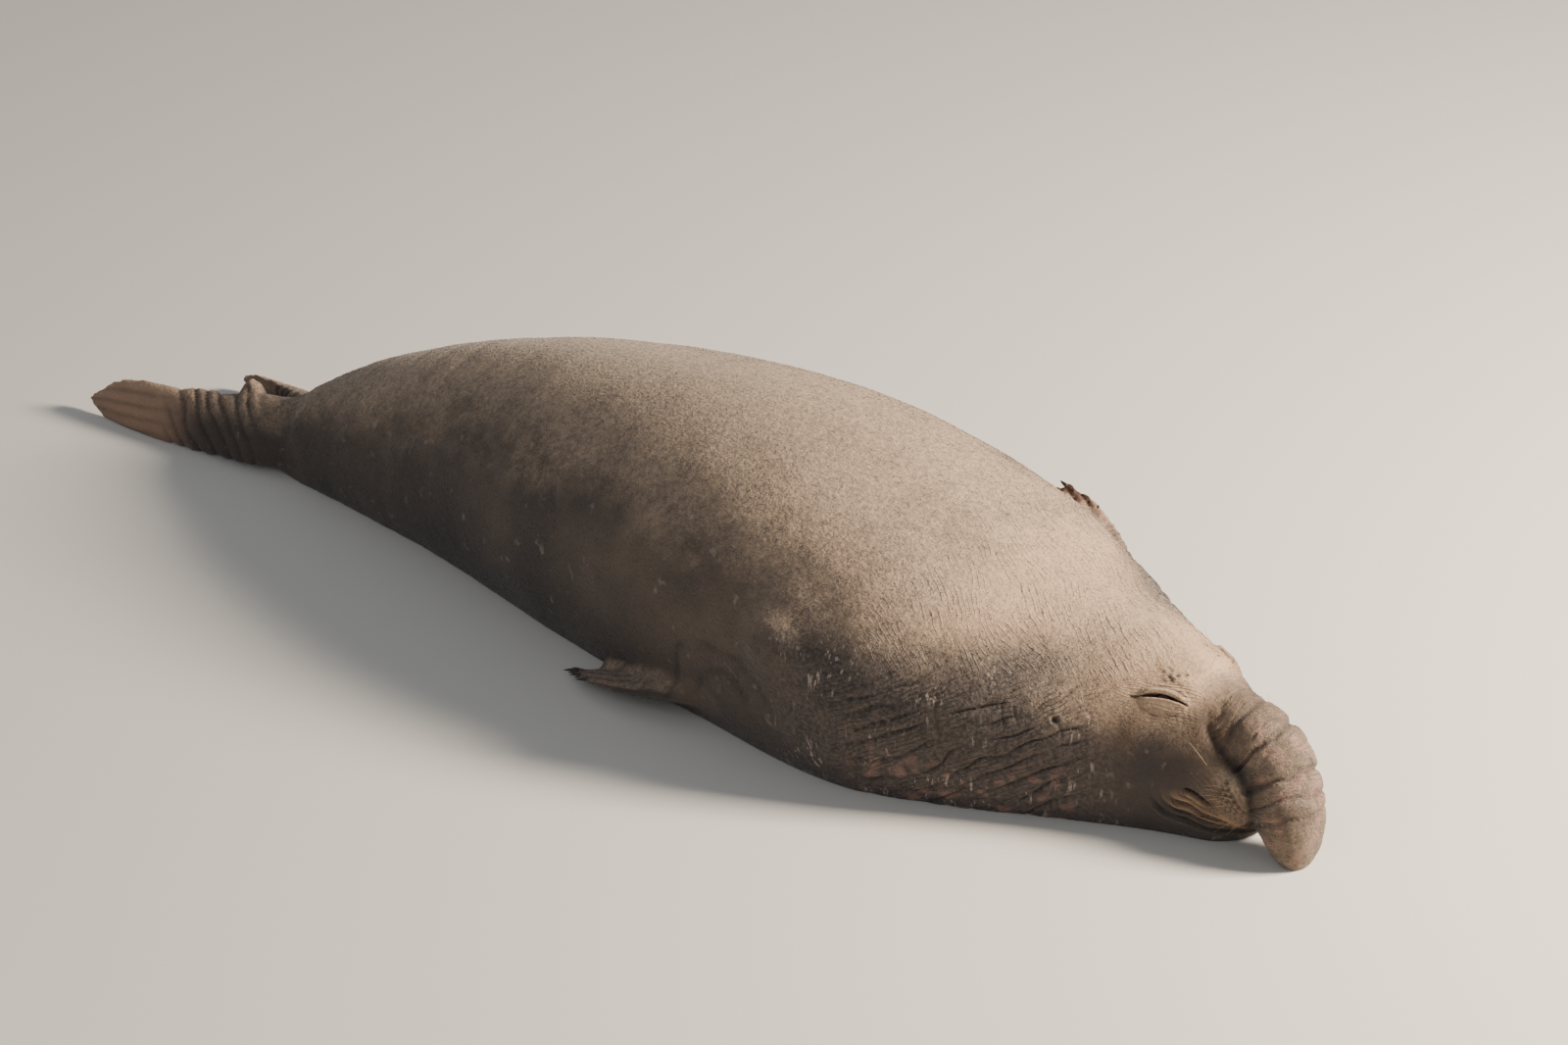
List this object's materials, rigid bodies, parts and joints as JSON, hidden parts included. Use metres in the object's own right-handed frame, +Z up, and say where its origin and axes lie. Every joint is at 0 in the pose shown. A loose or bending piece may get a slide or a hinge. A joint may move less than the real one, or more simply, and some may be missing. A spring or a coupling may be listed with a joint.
{
  "type": "elephant seal",
  "caption": "Life-size still model of a bull northern elephant seal asleep on its belly, with a drooping proboscis.",
  "frame": {"origin": "middle of the footprint's bounding box, on the ground", "axes": "+X along the body towards the nose, +Y to the seal's left, +Z up"},
  "size_m": [4.4188, 1.2237, 0.7474],
  "materials": {
    "coat": "short dusty fur over blubber",
    "face": "short pale fur",
    "proboscis": "creased sparse fur and bare skin",
    "flipper": "dark short fur, bare nails",
    "eye": "wet and dark"
  },
  "bodies": {
    "root": {"pelvis": "coat", "hips": "coat", "belly": "coat", "chest": "coat", "neck": "coat", "tail": "coat", "head": "face", "lower_jaw": "face", "proboscis": "proboscis", "eye_right": "eye", "eye_left": "eye", "fore_flipper_right": "flipper", "fore_flipper_left": "flipper", "hind_flipper_right": "flipper", "hind_flipper_left": "flipper"}
  },
  "joints": []
}
